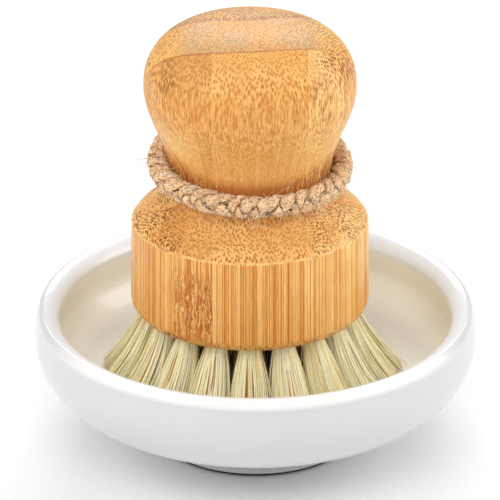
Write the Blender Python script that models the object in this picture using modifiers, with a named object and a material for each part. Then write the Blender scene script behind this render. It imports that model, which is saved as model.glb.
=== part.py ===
"""A turned bamboo dish brush with a jute loop round its neck, standing in a glazed dish.

Metres, +Z up. The origin lies on the table, under the middle of the dish. Heights on the
brush are measured from the underside of its head.
"""

import math
import random

import bmesh
import bpy
from mathutils import Matrix, Vector

MM = 0.001
MERGE_DISTANCE = 0.001 * MM
OVERRUN = 1.0 * MM

# Dish
DISH_HEIGHT = 33.6 * MM
DISH_BELLY_RADIUS = 52.6 * MM
DISH_BELLY_HEIGHT = 26.7 * MM
DISH_BELLY_ROUND = 15.4 * MM
DISH_WALL = 4.8 * MM
DISH_INNER_BELLY_DROP = 2.7 * MM
DISH_BASE_THICKNESS = 5.2 * MM
DISH_FLOOR_RADIUS = 12.0 * MM
DISH_RIM_TUCK = 2.3 * MM
DISH_LIP_WIDTH = 3.8 * MM
DISH_LIP_DROP = 3.0 * MM
FOOT_RADIUS = 25.5 * MM
FOOT_HEIGHT = 2.0 * MM
FOOT_RING_WIDTH = 4.5 * MM
FOOT_RECESS_DEPTH = 1.8 * MM
FOOT_EDGE = 0.5 * MM
LIP_EXPONENT = 1.3
BOWL_EXPONENT = 1.1
DISH_STEPS = 60

# Handle, one turned block
HEAD_RADIUS = 28.1 * MM
HEAD_TAPER = 0.5 * MM
HEAD_HEIGHT = 22.3 * MM
HEAD_BOTTOM_ROUND = 3.0 * MM
HEAD_TOP_EDGE = 0.4 * MM
SHOULDER_HEIGHT = 12.6 * MM
SHOULDER_EXPONENT = 1.8
SHOULDER_SWELL = 0.8
NECK_RADIUS = 18.95 * MM
NECK_TO_KNOB = 19.6 * MM
KNOB_RADIUS = 24.2 * MM
KNOB_CROWN = 15.5 * MM
KNOB_FLAT_RADIUS = 4.3 * MM
KNOB_FALL_EXPONENT = 0.98
CROWN_EXPONENT = 0.89
HANDLE_STEPS = 48

# Bristles, in tufts that are folded into drilled holes
BRISTLE_LENGTH = 25.4 * MM
BRISTLE_SPREAD_RADIUS = 37.5 * MM
HOLE_RADIUS = 2.5 * MM
HOLE_DEPTH = 10.0 * MM
HOLE_MARGIN = 0.3 * MM
HOLE_SIDES = 8
TUFT_RINGS = ("centre", "inner", "middle", "outer")
FIRST_RING_COUNT = 6
TUFT_CLEARANCE = 0.3 * MM
TUFT_COLLAR = 1.0 * MM
TUFT_FAN_RADIUS = 4.2 * MM
TIP_CLEARANCE = 0.4 * MM
STRAND_CIRCLES = ((1, 0.0), (3, 0.36), (7, 0.72))
STRAND_SIDES = 3
STRAND_SHARE = 0.19
STRAND_TIP_SHARE = 0.8
STRAND_SINK_SHARE = 0.3
STRAND_BEND_SHARE = 0.42
TIP_JITTER_SHARE = 0.09
BRISTLE_SEED = 7

# Rope
ROPE_RADIUS = 2.2 * MM
ROPE_CLEARANCE = 0.3 * MM
ROPE_RISE = 0.6 * MM
ROPE_TILT = math.radians(6)
ROPE_LEAN = math.radians(2)
ROPE_BACK_REACH = 9.2 * MM
ROPE_BACK_EXPONENT = 8
ROPE_POINTS = 32
KNOT_HALF_WIDTH = 5.2 * MM
KNOT_HALF_DEPTH = 4.2 * MM
KNOT_HALF_HEIGHT = 4.6 * MM
KNOT_BAND_SHARE = 0.62
KNOT_BAND_TILT = math.radians(34)
KNOT_STUB = 2.4 * MM
KNOT_GAP = 0.3 * MM
TAIL_LENGTH = 9.0 * MM
TAIL_SPREAD = math.radians(28)
TAIL_DROOP = math.radians(24)

# Where the brush stands in the dish
BRUSH_SIDESTEP = 1.3 * MM

dish_floor_height = FOOT_RECESS_DEPTH + DISH_BASE_THICKNESS
underside_height = dish_floor_height + TIP_CLEARANCE + BRISTLE_LENGTH
neck_height = HEAD_HEIGHT + SHOULDER_HEIGHT
widest_height = neck_height + NECK_TO_KNOB
head_top_radius = HEAD_RADIUS - HEAD_TAPER
outer_ring_radius = HEAD_RADIUS - HEAD_BOTTOM_ROUND - HOLE_MARGIN - HOLE_RADIUS
ring_pitch = outer_ring_radius / (len(TUFT_RINGS) - 1)
tuft_radius = HOLE_RADIUS - TUFT_CLEARANCE
flare = (BRISTLE_SPREAD_RADIUS - TUFT_FAN_RADIUS) / outer_ring_radius
rope_ring_radius = NECK_RADIUS + ROPE_RADIUS + ROPE_CLEARANCE
rope_height = neck_height + ROPE_RISE


def clear_scene():
    for old in list(bpy.data.objects):
        bpy.data.objects.remove(old)


def new_collection(name):
    collection = bpy.data.collections.new(name)
    bpy.context.scene.collection.children.link(collection)
    return collection


def new_material(name, colour, roughness, coat=0.0):
    material = bpy.data.materials.new(name)
    material.use_nodes = True
    shader = material.node_tree.nodes["Principled BSDF"]
    shader.inputs["Base Color"].default_value = (*colour, 1.0)
    shader.inputs["Roughness"].default_value = roughness
    shader.inputs["Metallic"].default_value = 0.0
    shader.inputs["Coat Weight"].default_value = coat
    material.diffuse_color = (*colour, 1.0)
    return material


def add_object(name, data, collection, parent=None, place=(0, 0, 0)):
    added = bpy.data.objects.new(name, data)
    collection.objects.link(added)
    added.parent = parent
    added.location = place
    return added


def add_cutter(name, data, collection, parent, place=(0, 0, 0)):
    cutter = add_object(name, data, collection, parent, place)
    cutter.hide_render = True
    cutter.display_type = "WIRE"
    return cutter


def add_boolean(target, cutter, operation, crossing=False):
    """Cuts or joins. With crossing, the cutter's own pieces may run through each other."""
    modifier = target.modifiers.new(cutter.name, "BOOLEAN")
    modifier.operation = operation
    modifier.object = cutter
    modifier.solver = "MANIFOLD" if crossing else "EXACT"


def arc(centre, width, height, start, end, steps, exponent=1.0):
    """Points of a (super)ellipse round centre, from the start angle to the end angle."""
    points = []
    for step in range(steps + 1):
        angle = start + (end - start) * step / steps
        across = math.copysign(abs(math.cos(angle)) ** exponent, math.cos(angle))
        up = math.copysign(abs(math.sin(angle)) ** exponent, math.sin(angle))
        points.append((centre[0] + width * across, centre[1] + height * up))
    return points


def eased(start, end, steps, exponent=1.0):
    """Points from start to end that leave and arrive upright, both ends left out."""
    points = []
    for step in range(1, steps):
        share = (step / steps) ** exponent
        turn = (1 - math.cos(math.pi * share)) / 2
        radius = start[0] + (end[0] - start[0]) * turn
        points.append((radius, start[1] + (end[1] - start[1]) * step / steps))
    return points


def turned(name, points, steps, collection, parent=None, place=(0, 0, 0)):
    """A solid of revolution from (radius, height) points that run down its outer side."""
    mesh = bpy.data.meshes.new(name)
    links = [(index, index + 1) for index in range(len(points) - 1)]
    mesh.from_pydata([(radius, 0, height) for radius, height in points], links, [])
    solid = add_object(name, mesh, collection, parent, place)
    screw = solid.modifiers.new("turn", "SCREW")
    screw.steps = screw.render_steps = steps
    screw.use_merge_vertices = True
    screw.merge_threshold = MERGE_DISTANCE
    screw.use_smooth_shade = True
    return solid


def bowl_points():
    """The dish's hollow, from the edge of its flat floor up to its widest place."""
    inner_radius = DISH_BELLY_RADIUS - DISH_WALL
    inner_height = DISH_BELLY_HEIGHT - DISH_INNER_BELLY_DROP
    width = inner_radius - DISH_FLOOR_RADIUS
    height = inner_height - dish_floor_height
    centre = (DISH_FLOOR_RADIUS, inner_height)
    return arc(centre, width, -height, math.pi / 2, 0, 8, BOWL_EXPONENT)


def lip_points():
    """The rim: a gentle slope up its inner side, and the upper part of the outer wall."""
    rim_radius = DISH_BELLY_RADIUS - DISH_RIM_TUCK
    low = DISH_HEIGHT - DISH_LIP_DROP
    upright = math.pi / 2
    centre = (rim_radius, low)
    slope = arc(centre, DISH_LIP_WIDTH, DISH_LIP_DROP, math.pi, upright, 5, LIP_EXPONENT)
    centre = (rim_radius, DISH_BELLY_HEIGHT)
    wall_height = DISH_HEIGHT - DISH_BELLY_HEIGHT
    return slope + arc(centre, DISH_RIM_TUCK, wall_height, upright, 0, 5)[1:]


def belly_points():
    """The outside's round, ending where a straight slope leaves it for the top of the foot."""
    centre = (DISH_BELLY_RADIUS - DISH_BELLY_ROUND, DISH_BELLY_HEIGHT)
    across = FOOT_RADIUS - centre[0]
    down = FOOT_HEIGHT - centre[1]
    to_foot = math.atan2(down, across)
    leaving = to_foot + math.acos(DISH_BELLY_ROUND / math.hypot(across, down))
    return arc(centre, DISH_BELLY_ROUND, DISH_BELLY_ROUND, 0, leaving, 6)[1:]


def foot_points():
    ring_inside = FOOT_RADIUS - FOOT_RING_WIDTH
    return [
        (FOOT_RADIUS, FOOT_HEIGHT),
        (FOOT_RADIUS, FOOT_EDGE),
        (FOOT_RADIUS - FOOT_EDGE, 0),
        (ring_inside, 0),
        (ring_inside - FOOT_EDGE, FOOT_RECESS_DEPTH),
        (0, FOOT_RECESS_DEPTH),
    ]


def make_dish(collection):
    bowl = bowl_points()
    lip = lip_points()
    points = [(0, dish_floor_height)] + bowl + eased(bowl[-1], lip[0], 3)
    points += lip + belly_points() + foot_points()
    return turned("dish", points, DISH_STEPS, collection)


def dish_height_at(x, y):
    """The height of the dish's floor or bowl, on its flat facets, over a place on the table."""
    radius = math.hypot(x, y) / math.cos(math.pi / DISH_STEPS)
    bowl = bowl_points()
    for (near, low), (far, high) in zip(bowl, bowl[1:]):
        if near < radius <= far:
            return low + (high - low) * (radius - near) / (far - near)
    return dish_floor_height


def knob_points():
    """The knob's crown, and its side down to the narrowest place of the neck."""
    centre = (KNOB_FLAT_RADIUS, widest_height)
    width = KNOB_RADIUS - KNOB_FLAT_RADIUS
    crown = [(0, widest_height + KNOB_CROWN)]
    crown += arc(centre, width, KNOB_CROWN, math.pi / 2, 0, 9, CROWN_EXPONENT)
    neck = (NECK_RADIUS, neck_height)
    return crown + eased(crown[-1], neck, 7, KNOB_FALL_EXPONENT) + [neck]


def shoulder_points(steps=6):
    """The shoulder, hollow below the neck and swelling toward the top edge of the head."""
    points = []
    for step in range(1, steps + 1):
        share = step / steps
        hollow = share**SHOULDER_EXPONENT
        swelling = (1 - math.cos(math.pi * hollow)) / 2
        out = hollow + (swelling - hollow) * SHOULDER_SWELL
        reach = (head_top_radius - HEAD_TOP_EDGE - NECK_RADIUS) * out
        points.append((NECK_RADIUS + reach, neck_height - SHOULDER_HEIGHT * share))
    return points


def head_points():
    """The head's wall, its rounded lower edge and its underside."""
    centre = (HEAD_RADIUS - HEAD_BOTTOM_ROUND, HEAD_BOTTOM_ROUND)
    rounding = arc(centre, HEAD_BOTTOM_ROUND, -HEAD_BOTTOM_ROUND, 0, math.pi / 2, 4)
    rounding[-1] = (centre[0], 0)
    return [(head_top_radius, HEAD_HEIGHT - HEAD_TOP_EDGE)] + rounding + [(0, 0)]


def tuft_places():
    """(name, place on the head's underside, whether it is in the outer ring) of each tuft."""
    places = [("tuft_" + TUFT_RINGS[0], Vector((0, 0, 0)), False)]
    for ring in range(1, len(TUFT_RINGS)):
        count = FIRST_RING_COUNT * ring
        for index in range(count):
            angle = 2 * math.pi * (index + ring / 2) / count
            place = Vector((math.cos(angle), math.sin(angle), 0)) * ring_pitch * ring
            name = f"tuft_{TUFT_RINGS[ring]}_{index + 1:02d}"
            places.append((name, place, ring == len(TUFT_RINGS) - 1))
    return places


def prism_mesh(name, places, radius, bottom, top):
    """One mesh with an upright prism at each place."""
    shape = bmesh.new()
    for place in places:
        middle = Matrix.Translation(place + Vector((0, 0, (bottom + top) / 2)))
        bmesh.ops.create_cone(
            shape,
            cap_ends=True,
            segments=HOLE_SIDES,
            radius1=radius,
            radius2=radius,
            depth=top - bottom,
            matrix=middle,
        )
    mesh = bpy.data.meshes.new(name)
    shape.to_mesh(mesh)
    shape.free()
    return mesh


def make_handle(collection, cutters, axis):
    points = knob_points() + shoulder_points() + head_points()
    handle = turned("handle", points, HANDLE_STEPS, collection, axis)
    places = [place for _, place, _ in tuft_places()]
    holes = prism_mesh("drilled_holes", places, HOLE_RADIUS, -OVERRUN, HOLE_DEPTH)
    add_boolean(handle, add_cutter("drilled_holes", holes, cutters, axis), "DIFFERENCE")
    return handle


def mesh_of_curve(curve_object):
    """The curve's tubes as a mesh with welded caps. The curve object is removed."""
    bpy.context.view_layer.update()
    graph = bpy.context.evaluated_depsgraph_get()
    mesh = bpy.data.meshes.new_from_object(curve_object.evaluated_get(graph))
    shape = bmesh.new()
    shape.from_mesh(mesh)
    bmesh.ops.remove_doubles(shape, verts=shape.verts, dist=MERGE_DISTANCE)
    bmesh.ops.recalc_face_normals(shape, faces=shape.faces)
    shape.to_mesh(mesh)
    shape.free()
    bpy.data.objects.remove(curve_object)
    return mesh


def tube_curve(name, radius, resolution):
    curve = bpy.data.curves.new(name, "CURVE")
    curve.dimensions = "3D"
    curve.fill_mode = "FULL"
    curve.bevel_depth = radius
    curve.bevel_resolution = resolution
    curve.use_fill_caps = True
    return curve


def three_sided_curve(name, profile):
    """A curve object's data whose tubes take their section from a three-cornered profile."""
    curve = tube_curve(name, 0, 0)
    curve.bevel_mode = "OBJECT"
    curve.bevel_object = profile
    return curve


def strand_profile(collection):
    """The three-cornered section of a strand at its root."""
    curve = bpy.data.curves.new("strand_section", "CURVE")
    curve.dimensions = "2D"
    spline = curve.splines.new("POLY")
    spline.points.add(STRAND_SIDES - 1)
    spline.use_cyclic_u = True
    for corner, point in enumerate(spline.points):
        angle = 2 * math.pi * corner / STRAND_SIDES
        radius = tuft_radius * STRAND_SHARE
        point.co = (radius * math.cos(angle), radius * math.sin(angle), 0, 1.0)
    return add_cutter("strand_section", curve, collection, None)


def add_poly_spline(curve, points, tip_share=1.0):
    spline = curve.splines.new("POLY")
    spline.points.add(len(points) - 1)
    for index, (knot, point) in enumerate(zip(spline.points, points)):
        knot.co = (*point, 1.0)
        knot.radius = 1 + (tip_share - 1) * index / (len(points) - 1)


def strand_tip(place, root, chance):
    """Where a strand ends, seen from its tuft: fanned out, and just above the dish."""
    fan = root * TUFT_FAN_RADIUS / tuft_radius
    wander = Vector((chance.uniform(-1, 1), chance.uniform(-1, 1), 0))
    tip = place * (flare - 1) + fan + wander * TUFT_FAN_RADIUS * TIP_JITTER_SHARE
    on_head = place + tip
    surface = dish_height_at(on_head.x - BRUSH_SIDESTEP, on_head.y)
    tip.z = surface + TIP_CLEARANCE - underside_height
    return tip


def strand_mesh(place, is_outer, chance, profile, scratch):
    """The strands of one tuft, which part from its root just below the head."""
    curve = three_sided_curve("strands", profile)
    for count, share in STRAND_CIRCLES:
        for index in range(count):
            angle = 2 * math.pi * index / count
            root = Vector((math.cos(angle), math.sin(angle), 0)) * tuft_radius * share
            tip = strand_tip(place, root, chance)
            root.z = -TUFT_COLLAR * STRAND_SINK_SHARE
            bend = root.lerp(tip, STRAND_BEND_SHARE)
            bend.z = (root.z + tip.z) / 2
            points = [root, bend, tip] if is_outer else [root, tip]
            add_poly_spline(curve, points, STRAND_TIP_SHARE)
    return mesh_of_curve(add_object("strands", curve, scratch))


def make_tufts(collection, cutters, axis):
    chance = random.Random(BRISTLE_SEED)
    profile = strand_profile(cutters)
    top = HOLE_DEPTH - TUFT_CLEARANCE
    root_mesh = prism_mesh("tuft_root", [Vector()], tuft_radius, -TUFT_COLLAR, top)
    tufts = []
    for name, place, is_outer in tuft_places():
        tuft = add_object(name, root_mesh, collection, axis, place)
        strands = strand_mesh(place, is_outer, chance, profile, cutters)
        cutter = add_cutter(name + "_strands", strands, cutters, tuft)
        add_boolean(tuft, cutter, "UNION", crossing=True)
        tufts.append(tuft)
    return tufts


def rope_place(angle):
    """A point of the loop's middle line. The loop fits the neck and reaches out at the back."""
    lift = ((1 + math.sin(angle)) / 2) ** ROPE_BACK_EXPONENT
    radius = rope_ring_radius + ROPE_BACK_REACH * lift
    flat = Vector((math.cos(angle), math.sin(angle), 0)) * radius
    return Matrix.Rotation(ROPE_LEAN, 3, "Y") @ Matrix.Rotation(ROPE_TILT, 3, "X") @ flat


def rope_points():
    """The loop from one side of the knot, round the front of the neck, to the other."""
    back = rope_place(math.pi / 2).length
    half_gap = math.asin((KNOT_HALF_WIDTH + KNOT_STUB) / back)
    start = math.pi / 2 + half_gap
    sweep = 2 * math.pi - 2 * half_gap
    return [rope_place(start + sweep * step / ROPE_POINTS) for step in range(ROPE_POINTS + 1)]


def make_rope_loop(collection, axis):
    curve = tube_curve("rope_loop", ROPE_RADIUS, 4)
    add_poly_spline(curve, rope_points())
    return add_object("rope_loop", curve, collection, axis)


def rod_mesh(name, start, direction, length, radius):
    """A round rod from start along direction."""
    direction = direction.normalized()
    turn = direction.to_track_quat("Z", "Y").to_matrix().to_4x4()
    middle = Matrix.Translation(start + direction * length / 2) @ turn
    shape = bmesh.new()
    bmesh.ops.create_cone(
        shape,
        cap_ends=True,
        segments=12,
        radius1=radius,
        radius2=radius,
        depth=length,
        matrix=middle,
    )
    mesh = bpy.data.meshes.new(name)
    shape.to_mesh(mesh)
    shape.free()
    return mesh


def knot_core_mesh():
    shape = bmesh.new()
    bmesh.ops.create_uvsphere(shape, u_segments=16, v_segments=10, radius=1)
    size = Matrix.Diagonal((KNOT_HALF_WIDTH, KNOT_HALF_DEPTH, KNOT_HALF_HEIGHT))
    bmesh.ops.transform(shape, matrix=size.to_4x4(), verts=shape.verts)
    mesh = bpy.data.meshes.new("rope_knot")
    shape.to_mesh(mesh)
    shape.free()
    return mesh


def knot_band_mesh(scratch):
    """The turn of rope that crosses over the knot."""
    curve = tube_curve("knot_band", ROPE_RADIUS, 2)
    spline = curve.splines.new("POLY")
    steps = 16
    spline.points.add(steps - 1)
    spline.use_cyclic_u = True
    turn = Matrix.Rotation(KNOT_BAND_TILT, 3, "Y")
    for step, point in enumerate(spline.points):
        angle = 2 * math.pi * step / steps
        across = KNOT_HALF_DEPTH * KNOT_BAND_SHARE * math.cos(angle)
        up = KNOT_HALF_HEIGHT * KNOT_BAND_SHARE * math.sin(angle)
        point.co = (*(turn @ Vector((0, across, up))), 1.0)
    return mesh_of_curve(add_object("knot_band", curve, scratch))


def tail_direction(side):
    out = Vector((side * math.sin(TAIL_SPREAD), math.cos(TAIL_SPREAD), 0))
    return out - Vector((0, 0, math.sin(TAIL_DROOP)))


def make_rope_knot(collection, cutters, axis):
    """The knot behind the neck, with a stub toward each end of the loop and two cut tails."""
    middle = rope_place(math.pi / 2)
    knot = add_object("rope_knot", knot_core_mesh(), collection, axis, middle)
    ends = rope_points()
    for index, (end, inward) in enumerate(((ends[0], ends[1]), (ends[-1], ends[-2]))):
        toward = (end - inward).normalized()
        start = end + toward * KNOT_GAP - middle
        stub = rod_mesh("knot_stub", start, toward, KNOT_STUB + ROPE_RADIUS, ROPE_RADIUS)
        add_boolean(knot, add_cutter(f"knot_stub_{index + 1}", stub, cutters, knot), "UNION")
    band = knot_band_mesh(cutters)
    add_boolean(knot, add_cutter("knot_band", band, cutters, knot), "UNION")
    reach = TAIL_LENGTH + KNOT_HALF_DEPTH
    for index, side in enumerate((-1, 1)):
        tail = rod_mesh("knot_tail", Vector(), tail_direction(side), reach, ROPE_RADIUS)
        add_boolean(knot, add_cutter(f"knot_tail_{index + 1}", tail, cutters, knot), "UNION")
    return knot


def finish(objects, material):
    for piece in objects:
        if not piece.data.materials:
            piece.data.materials.append(material)


def build():
    clear_scene()
    parts = new_collection("dish_brush_with_stand")
    cutters = new_collection("cutters")
    brush_axis = add_object("brush_axis", None, parts)
    brush_axis.location = (-BRUSH_SIDESTEP, 0, underside_height)
    rope_axis = add_object("rope_axis", None, parts, brush_axis, (0, 0, rope_height))
    ceramic = new_material("white_glaze", (0.88, 0.88, 0.87), 0.12, 0.5)
    bamboo = new_material("bamboo", (0.79, 0.42, 0.15), 0.45)
    fibre = new_material("plant_bristle", (0.76, 0.66, 0.33), 0.6)
    jute = new_material("jute", (0.58, 0.35, 0.19), 0.85)
    finish([make_dish(parts)], ceramic)
    finish([make_handle(parts, cutters, brush_axis)], bamboo)
    finish(make_tufts(parts, cutters, brush_axis), fibre)
    finish([make_rope_loop(parts, rope_axis)], jute)
    finish([make_rope_knot(parts, cutters, rope_axis)], jute)


build()
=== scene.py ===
"""The looks of a bamboo dish brush with a plaited jute loop, standing in a glazed dish."""

import math
import random

import bmesh
import bpy
from mathutils import Matrix, Vector, noise


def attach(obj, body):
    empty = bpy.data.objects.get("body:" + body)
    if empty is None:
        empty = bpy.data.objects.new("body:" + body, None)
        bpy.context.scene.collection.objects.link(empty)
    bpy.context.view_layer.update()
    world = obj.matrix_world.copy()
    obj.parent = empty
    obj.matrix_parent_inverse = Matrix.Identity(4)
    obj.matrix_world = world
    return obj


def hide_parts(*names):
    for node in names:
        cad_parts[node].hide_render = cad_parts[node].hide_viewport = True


MM = 0.001
UPRIGHT = math.pi / 2

# The solids' own sizes, in millimetres
BRUSH_X = -1.3
UNDERSIDE_Z = 32.8
DISH_HEIGHT = 33.6
DISH_FLOOR_Z = 7.0
BELLY_RADIUS = 52.6
BELLY_Z = 26.7
BELLY_ROUND = 15.4
DISH_WALL = 4.8
INNER_BELLY_DROP = 2.7
DISH_FLOOR_RADIUS = 12.0
BOWL_EXPONENT = 1.1
RIM_TUCK = 2.3
LIP_WIDTH = 3.8
LIP_DROP = 3.0
LIP_EXPONENT = 1.3
FOOT_RADIUS = 25.5
FOOT_HEIGHT = 2.0
FOOT_RING_WIDTH = 4.5
FOOT_RECESS = 1.8
FOOT_EDGE = 0.5
HEAD_RADIUS = 28.1
HEAD_TAPER = 0.5
HEAD_HEIGHT = 22.3
HEAD_ROUND = 3.0
HEAD_TOP_EDGE = 0.4
SHOULDER_HEIGHT = 12.6
SHOULDER_EXPONENT = 1.8
SHOULDER_SWELL = 0.8
NECK_RADIUS = 18.95
NECK_TO_KNOB = 19.6
KNOB_RADIUS = 24.2
KNOB_CROWN = 15.5
KNOB_FLAT = 4.3
KNOB_FALL = 0.98
CROWN_EXPONENT = 0.89
RING_RADIUS = 22.3
HOLE_RADIUS = 2.5
HOLE_DEPTH = 10.0
HOLE_OVERCUT = 1.0
TUFT_RADIUS = 2.2
FAN_RADIUS = 4.2
SPREAD_RADIUS = 37.5
TIP_GAP = 0.1
ROPE_RING = 21.45
ROPE_RISE = 0.6
ROPE_TILT = math.radians(6)
ROPE_LEAN = math.radians(2)
ROPE_BACK = 9.2
ROPE_BACK_EXPONENT = 8
KNOT_HALF_WIDTH = 5.2
KNOT_STUB = 2.4

NECK_Z = HEAD_HEIGHT + SHOULDER_HEIGHT
WIDEST_Z = NECK_Z + NECK_TO_KNOB
ROPE_Z = UNDERSIDE_Z + NECK_Z + ROPE_RISE

# How finely the turned pieces are drawn
DISH_SIDES = 256
HANDLE_SIDES = 192
SHOULDER_STEPS = 32
WALL_STEPS = 8
HOLE_SIDES = 20

# Fibres of a tuft. Counts and spreads go by ring, from the centre out
OUTER_RING = 3
FIBRE_COUNTS = (70, 70, 130, 380)
FIBRE_SPREADS = (1.12, 1.12, 1.5, 1.2)
OUTER_DEPTH_SPREAD = 0.9
FIBRE_RADII = (0.09, 0.155)
FIBRE_TAPER = 0.25
FIBRE_STEPS = 7
FIBRE_SIDES = 5
FIBRE_START = 1.5
FIBRE_WANDER = 0.12
FIBRE_SWAY = 0.2
OUTER_TONE = 0.8
# The inner tufts' low tone is painted shade, as they stand behind the outer ones
INNER_SHADE_TONE = 0.25
TONE_SPREAD = 0.32
STRAY_EVERY = 9
STRAY_REACH = 1.3
GOLDEN_ANGLE = 2.39996
LEFT_HELD_IN = 0.13

# Where a tuft stands halfway down, as shares of its lean and fan at the tips
FIBRE_LEAN = 0.36
HEART_LEAN = 0.485
BULGE = 0.52
FLARE = 1.1

# The packed core of an outer tuft
HEART_SIDES = 40
HEART_STEPS = 6
HEART_FLUTES = (0.4, 0.52)
# The core's dark tones are painted shade between the loose fibres
HEART_SHADE_TONES = (0.0, 0.12)
HEART_WIDTH = 1.25
HEART_FLATTENED = 0.4
HEART_TOP = 0.8
HEART_GAP = 1.2

# The plait
STRANDS = 3
PLAIT_LENGTH = 11.5
PLAIT_HALF_WIDTH = 0.95
PLAIT_HALF_DEPTH = 0.78
STRAND_HALF_WIDTH = 1.42
STRAND_HALF_DEPTH = 1.45
STRAND_SIDES = 30
STRAND_LAY = 22.0
PACKED = 0.78
FLATTENED = 0.4
INNER_SWELL = 1.12
PRESS_REACH = 0.75
ROPE_STEPS = 500
SURFACE_FIBRES = 2600
WHISKERS = 260

# The way of one cord's end through the knot, and its cut tail from the last turn
KNOT_STEPS = 110
KNOT_FLATTENED = 0.6
KNOT_TURNS = ((3.6, 1.1, -1.3), (0.6, 1.9, -1.5), (-2.6, 0.2, -1.9), (-3.9, -0.6, 0.1),
              (-2.6, 0.2, 1.9), (0.6, 1.9, 1.6), (3.2, 2.4, 1.3))
KNOT_TAIL = ((1.6, 1.6, -0.4), (2.6, 4.2, -1.6), (3.2, 7.0, -3.4))

# The bamboo's glue lines, and where its stripes are read, from the handle's axis
GLUE_BOW = 0.021
FRONT_GLUE = -16.2
FRONT_GLUE_SLOPE = 0.06
BACK_GLUE = -1.2
BACK_GLUE_SLOPE = 0.15
LEFT_SEAM = -8.2
RIGHT_SEAM = 12.8
GLUE_HALF_WIDTH = 0.06
STRIPE_RADIUS = 27.6

# Where the rope's shadow is painted on the neck, up from the handle's underside
ROPE_SHADOW_FOOT = 33.5
ROPE_SHADOW_TOP = 38.6
ROPE_SHADOW_RISE_AT_SIDES = 3.4

# The camera and the stage
CAMERA_PLACE = (-0.0013, -0.4383, 0.2412)
CAMERA_TILT = math.radians(66.02)
CAMERA_LENS = 147.15
CAMERA_SENSOR = 36.0
FLOOR_RADIUS = 0.75
FLOOR_SIDES = 128
FLOOR_DROP = 0.0002
WORLD_LIGHT = 0.5
LAMP_AIM = Vector((0, 0, 0.05))

# Each lamp's place and size in metres, its power, and whether it shows in the glaze
LAMPS = {
    "back": ((0, 0.85, 0.75), (0.8, 0.5), 5.2, True),
    "left": ((-0.95, 0.05, 0.45), (0.5, 0.7), 2.45, False),
    "right": ((0.95, 0.05, 0.45), (0.5, 0.7), 4.0, True),
    "back_right": ((0.7, 0.55, 0.7), (0.5, 0.6), 0.75, False),
    "over": ((0, -0.65, 0.9), (0.8, 0.5), 3.35, True),
    "front": ((0.05, -0.9, 0.3), (0.6, 0.4), 0.85, False),
    "over_left": ((-0.65, -0.55, 0.75), (0.5, 0.6), 2.1, True),
}

# Colours as they are seen, 0 to 255
SHADES = {
    "front": (233, 172, 101), "front_left": (212, 144, 79), "front_left_edge_light": (246, 192, 120),
    "front_right_tint_and_light": (255, 211, 143), "middle": (206, 170, 130), "middle_edge_light": (245, 190, 116),
    "back": (182, 149, 98), "neck_side_light": (255, 216, 138), "wall_left": (212, 117, 33),
    "wall_left_edge_light": (255, 208, 136), "wall_right_light": (255, 212, 140), "cloud": (232, 160, 80),
    "figure": (204, 108, 10), "shoulder": (222, 156, 84), "dark_band": (222, 146, 48),
    "light_band": (253, 208, 136), "dark_stripe": (204, 122, 30), "light_stripe": (254, 212, 140),
    "dark_thread": (188, 104, 22), "light_thread": (254, 214, 144), "streak": (200, 126, 48),
    "gleam": (254, 208, 138), "halo": (248, 200, 116), "bundle": (148, 82, 28),
    "faint_bundle": (196, 126, 56), "skin_bundle": (116, 56, 16), "deepest_bundle": (100, 44, 10),
    "figure_patch": (160, 82, 26), "figure_curl": (142, 66, 18), "back_band": (170, 104, 62),
    "glue": (176, 84, 50), "seam": (253, 212, 148), "edge_highlight": (253, 212, 140),
    "rope_shadow": (162, 70, 14), "bowl": (250, 247, 238), "lit_bowl_cool": (247, 244, 236),
    "shaded_outer_side": (210, 209, 209), "shaded_outer_side_cool": (208, 207, 208), "front_lip_highlight": (240, 239, 235),
    "lip": (234, 240, 245), "foot_contact_shadow": (16, 15, 15), "bristle_fleck": (226, 204, 130),
    "bristle_root_shade": (140, 98, 44), "bristle_sheen": (255, 232, 160), "jute": (230, 178, 124),
    "pale_jute": (250, 208, 154), "dark_fibre": (158, 104, 60), "pale_fibre": (255, 242, 212),
    "jute_crevice_shade": (70, 38, 14), "brown_whisker": (180, 122, 74),
    "straw_whisker": (255, 244, 216), "floor": (243, 243, 245),
}
WOOD_DEPTH = (0.93, 0.875, 0.71)
BRISTLE_TONES = ((0.0, (146, 90, 42)), (0.13, (206, 158, 84)), (0.3, (255, 232, 156)),
                 (0.5, (255, 246, 192)), (1.0, (255, 251, 220)))

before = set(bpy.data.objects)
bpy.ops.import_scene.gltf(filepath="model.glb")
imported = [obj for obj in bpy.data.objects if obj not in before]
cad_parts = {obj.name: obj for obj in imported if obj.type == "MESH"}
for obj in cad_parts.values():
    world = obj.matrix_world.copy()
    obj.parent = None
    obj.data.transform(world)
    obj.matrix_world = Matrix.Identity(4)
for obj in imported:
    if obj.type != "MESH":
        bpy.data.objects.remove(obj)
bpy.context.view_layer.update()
scene = bpy.context.scene


def linear(red, green, blue):
    """A colour as it is seen, 0 to 255, as the shader takes it."""
    out = []
    for value in (red, green, blue):
        value /= 255
        out.append(value / 12.92 if value <= 0.04045 else ((value + 0.055) / 1.055) ** 2.4)
    return (*out, 1.0)


def shade(name):
    return linear(*SHADES[name])


def add_camera():
    data = bpy.data.cameras.new("camera")
    data.lens = CAMERA_LENS
    data.sensor_width = CAMERA_SENSOR
    camera = bpy.data.objects.new("camera", data)
    camera.location = CAMERA_PLACE
    camera.rotation_euler = (CAMERA_TILT, 0, 0)
    scene.collection.objects.link(camera)
    scene.camera = camera


add_camera()


class Value:
    """A number that a shader works out, which can stand in sums."""

    def __init__(self, graph, socket):
        self.graph = graph
        self.socket = socket

    def __add__(self, other):
        return self.graph.math("ADD", self, other)

    def __sub__(self, other):
        return self.graph.math("SUBTRACT", self, other)

    def __rsub__(self, other):
        return self.graph.math("SUBTRACT", other, self)

    def __mul__(self, other):
        return self.graph.math("MULTIPLY", self, other)

    def __abs__(self):
        return self.graph.math("ABSOLUTE", self)


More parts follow.
